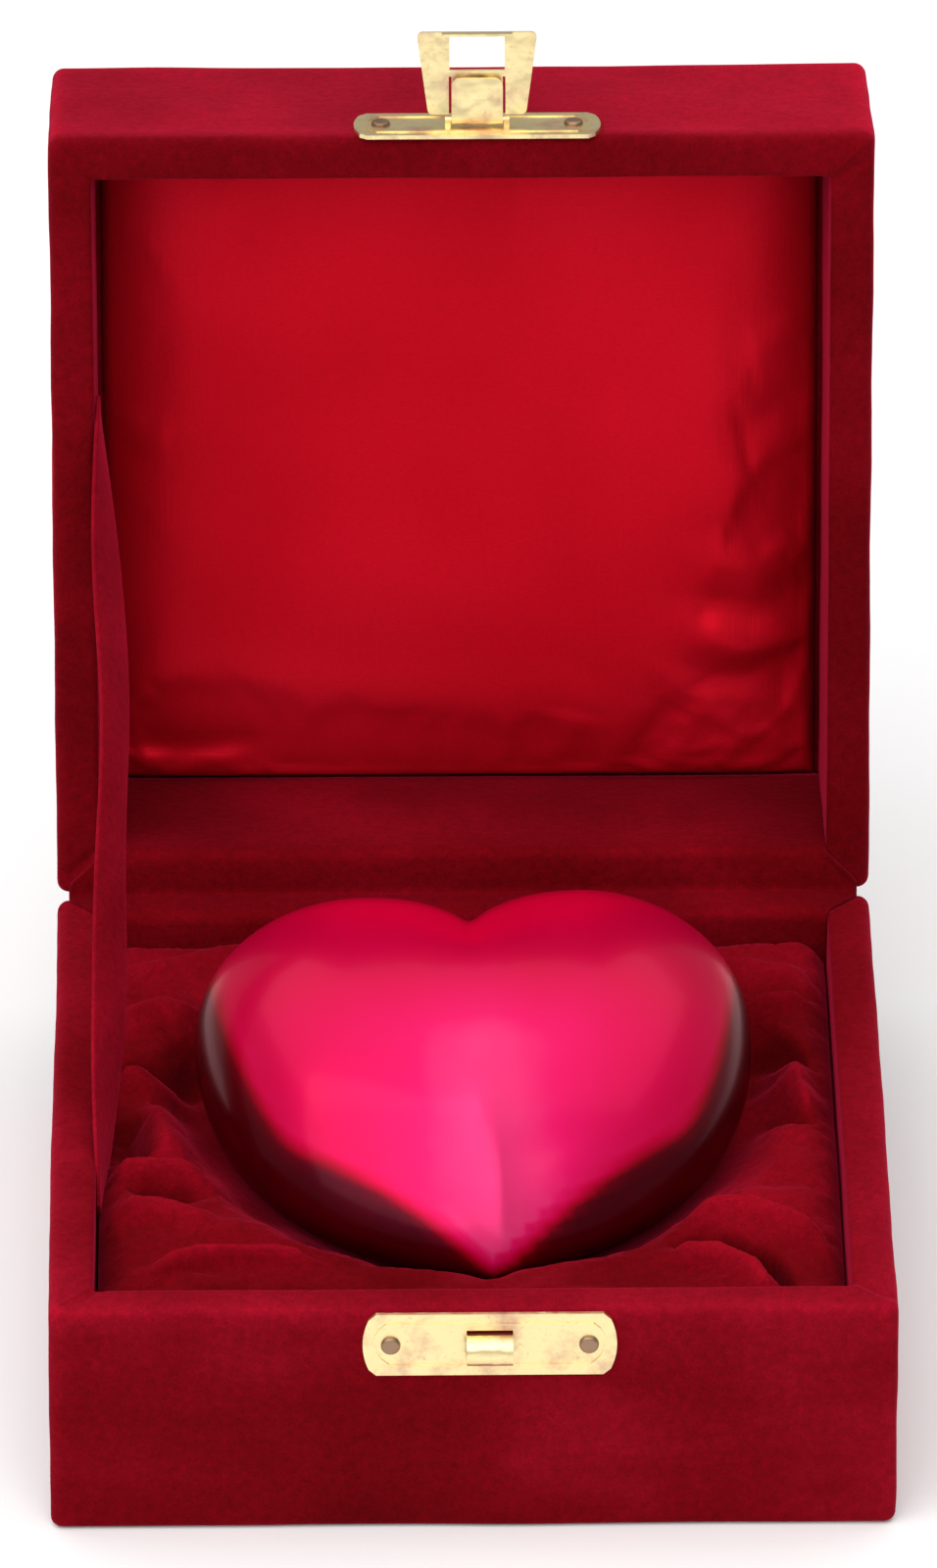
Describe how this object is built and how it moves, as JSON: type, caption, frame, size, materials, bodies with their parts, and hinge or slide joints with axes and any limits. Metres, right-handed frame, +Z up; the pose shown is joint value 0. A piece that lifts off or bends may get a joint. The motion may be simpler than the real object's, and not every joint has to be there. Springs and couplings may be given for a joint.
{
  "type": "musical keepsake box",
  "caption": "Square velvet-covered hinged box with a padded satin lid, a brass snap latch and a lacquered heart in a recessed cushion, over a small wind-up movement.",
  "frame": {"origin": "centre of the underside of the base, on the surface it stands on", "axes": "+X to the right seen from the front, +Y from the front to the hinge, +Z up; the lid stands open 98 degrees"},
  "size_m": [0.108, 0.1545, 0.1505],
  "materials": {
    "velvet_outer": "crimson cotton velvet, short pile, matt with a light sheen at the edges",
    "velvet_inner": "the same crimson velvet on the inside",
    "satin": "crimson satin stretched over padding, soft gloss",
    "lacquer_upper": "pink and red gloss lacquer",
    "lacquer_lower": "dark red gloss lacquer",
    "brass_latch": "stamped brass sheet, worn and slightly tarnished",
    "brass_nail": "tarnished brass nails",
    "grey_board": "pressed grey board",
    "flocked_paper": "dark red flocked paper",
    "foam": "open-cell foam",
    "movement_cover": "folded fibre sheet, dark",
    "frame_metal": "plain cast and bent bracket metal",
    "steel": "turned steel",
    "spring_steel": "blued spring steel",
    "brass_train": "machined brass"
  },
  "bodies": {
    "base": {"base_velvet_cover": "velvet_outer", "base_lining": "velvet_inner", "cushion_velvet": "velvet_inner", "cushion_foam": "foam", "catch_plate": "brass_latch", "catch_nails": "brass_nail", "base_bottom_board": "grey_board", "base_front_board": "grey_board", "base_back_board": "grey_board", "base_left_board": "grey_board", "base_right_board": "grey_board", "base_underside": "flocked_paper", "hinge_cloth": "velvet_outer", "hinge_lining": "velvet_inner", "lid_stay": "velvet_inner", "movement_cover": "movement_cover", "movement_frame": "frame_metal", "movement_screws": "steel", "tune_comb": "spring_steel", "comb_riser": "frame_metal", "comb_screws": "steel", "key_bushing": "brass_train"},
    "lid": {"lid_velvet_cover": "velvet_outer", "lid_lining": "velvet_inner", "satin_pad": "satin", "pad_card": "grey_board", "lid_top_board": "grey_board", "lid_front_board": "grey_board", "lid_back_board": "grey_board", "lid_left_board": "grey_board", "lid_right_board": "grey_board", "hasp_plate": "brass_latch", "hasp_nails": "brass_nail"},
    "hasp": {"hasp": "brass_latch"},
    "heart": {"heart_upper_shell": "lacquer_upper", "heart_lower_shell": "lacquer_lower"},
    "key": {"winding_arbor": "steel", "winding_key": "steel"},
    "barrel": {"spring_barrel": "brass_train", "barrel_cover": "brass_train", "mainspring": "spring_steel"},
    "cylinder": {"tune_cylinder": "brass_train", "cylinder_arbor": "steel"},
    "governor": {"governor_fan": "steel"}
  },
  "joints": [
    {"name": "lid_hinge", "type": "hinge", "parent": "base", "child": "lid", "pos_m": [0, 0.053, 0.0328], "axis": [1, 0, 0], "range_deg": [0, 98], "deforming": ["hinge_cloth", "hinge_lining", "lid_stay"]},
    {"name": "hasp_pivot", "type": "hinge", "parent": "lid", "child": "hasp", "pos_m": [0.0021, 0.07153, 0.13875], "axis": [1, 0, 0], "range_deg": [-75, 90]},
    {"name": "heart_lift", "type": "slide", "parent": "base", "child": "heart", "axis": [0, 0.2011, -0.9796], "range_m": [-0.045, 0]},
    {"name": "key_turn", "type": "hinge", "parent": "base", "child": "key", "pos_m": [0.013, 0.053, 0.0129], "axis": [0, 1, 0], "continuous": true, "deforming": ["mainspring"]},
    {"name": "barrel_spin", "type": "hinge", "parent": "base", "child": "barrel", "pos_m": [0.013, 0.0365, 0.0129], "axis": [0, 1, 0], "continuous": true},
    {"name": "cylinder_spin", "type": "hinge", "parent": "base", "child": "cylinder", "pos_m": [0.00265, 0.0374, 0.0129], "axis": [0, 1, 0], "continuous": true},
    {"name": "governor_spin", "type": "hinge", "parent": "base", "child": "governor", "pos_m": [-0.00185, 0.038, 0.01826], "axis": [0, 1, 0], "continuous": true}
  ],
  "couplings": [
    {"joint": "cylinder_spin", "follows": "barrel_spin", "ratio": -2.2857},
    {"joint": "governor_spin", "follows": "barrel_spin", "ratio": 6.8571}
  ]
}
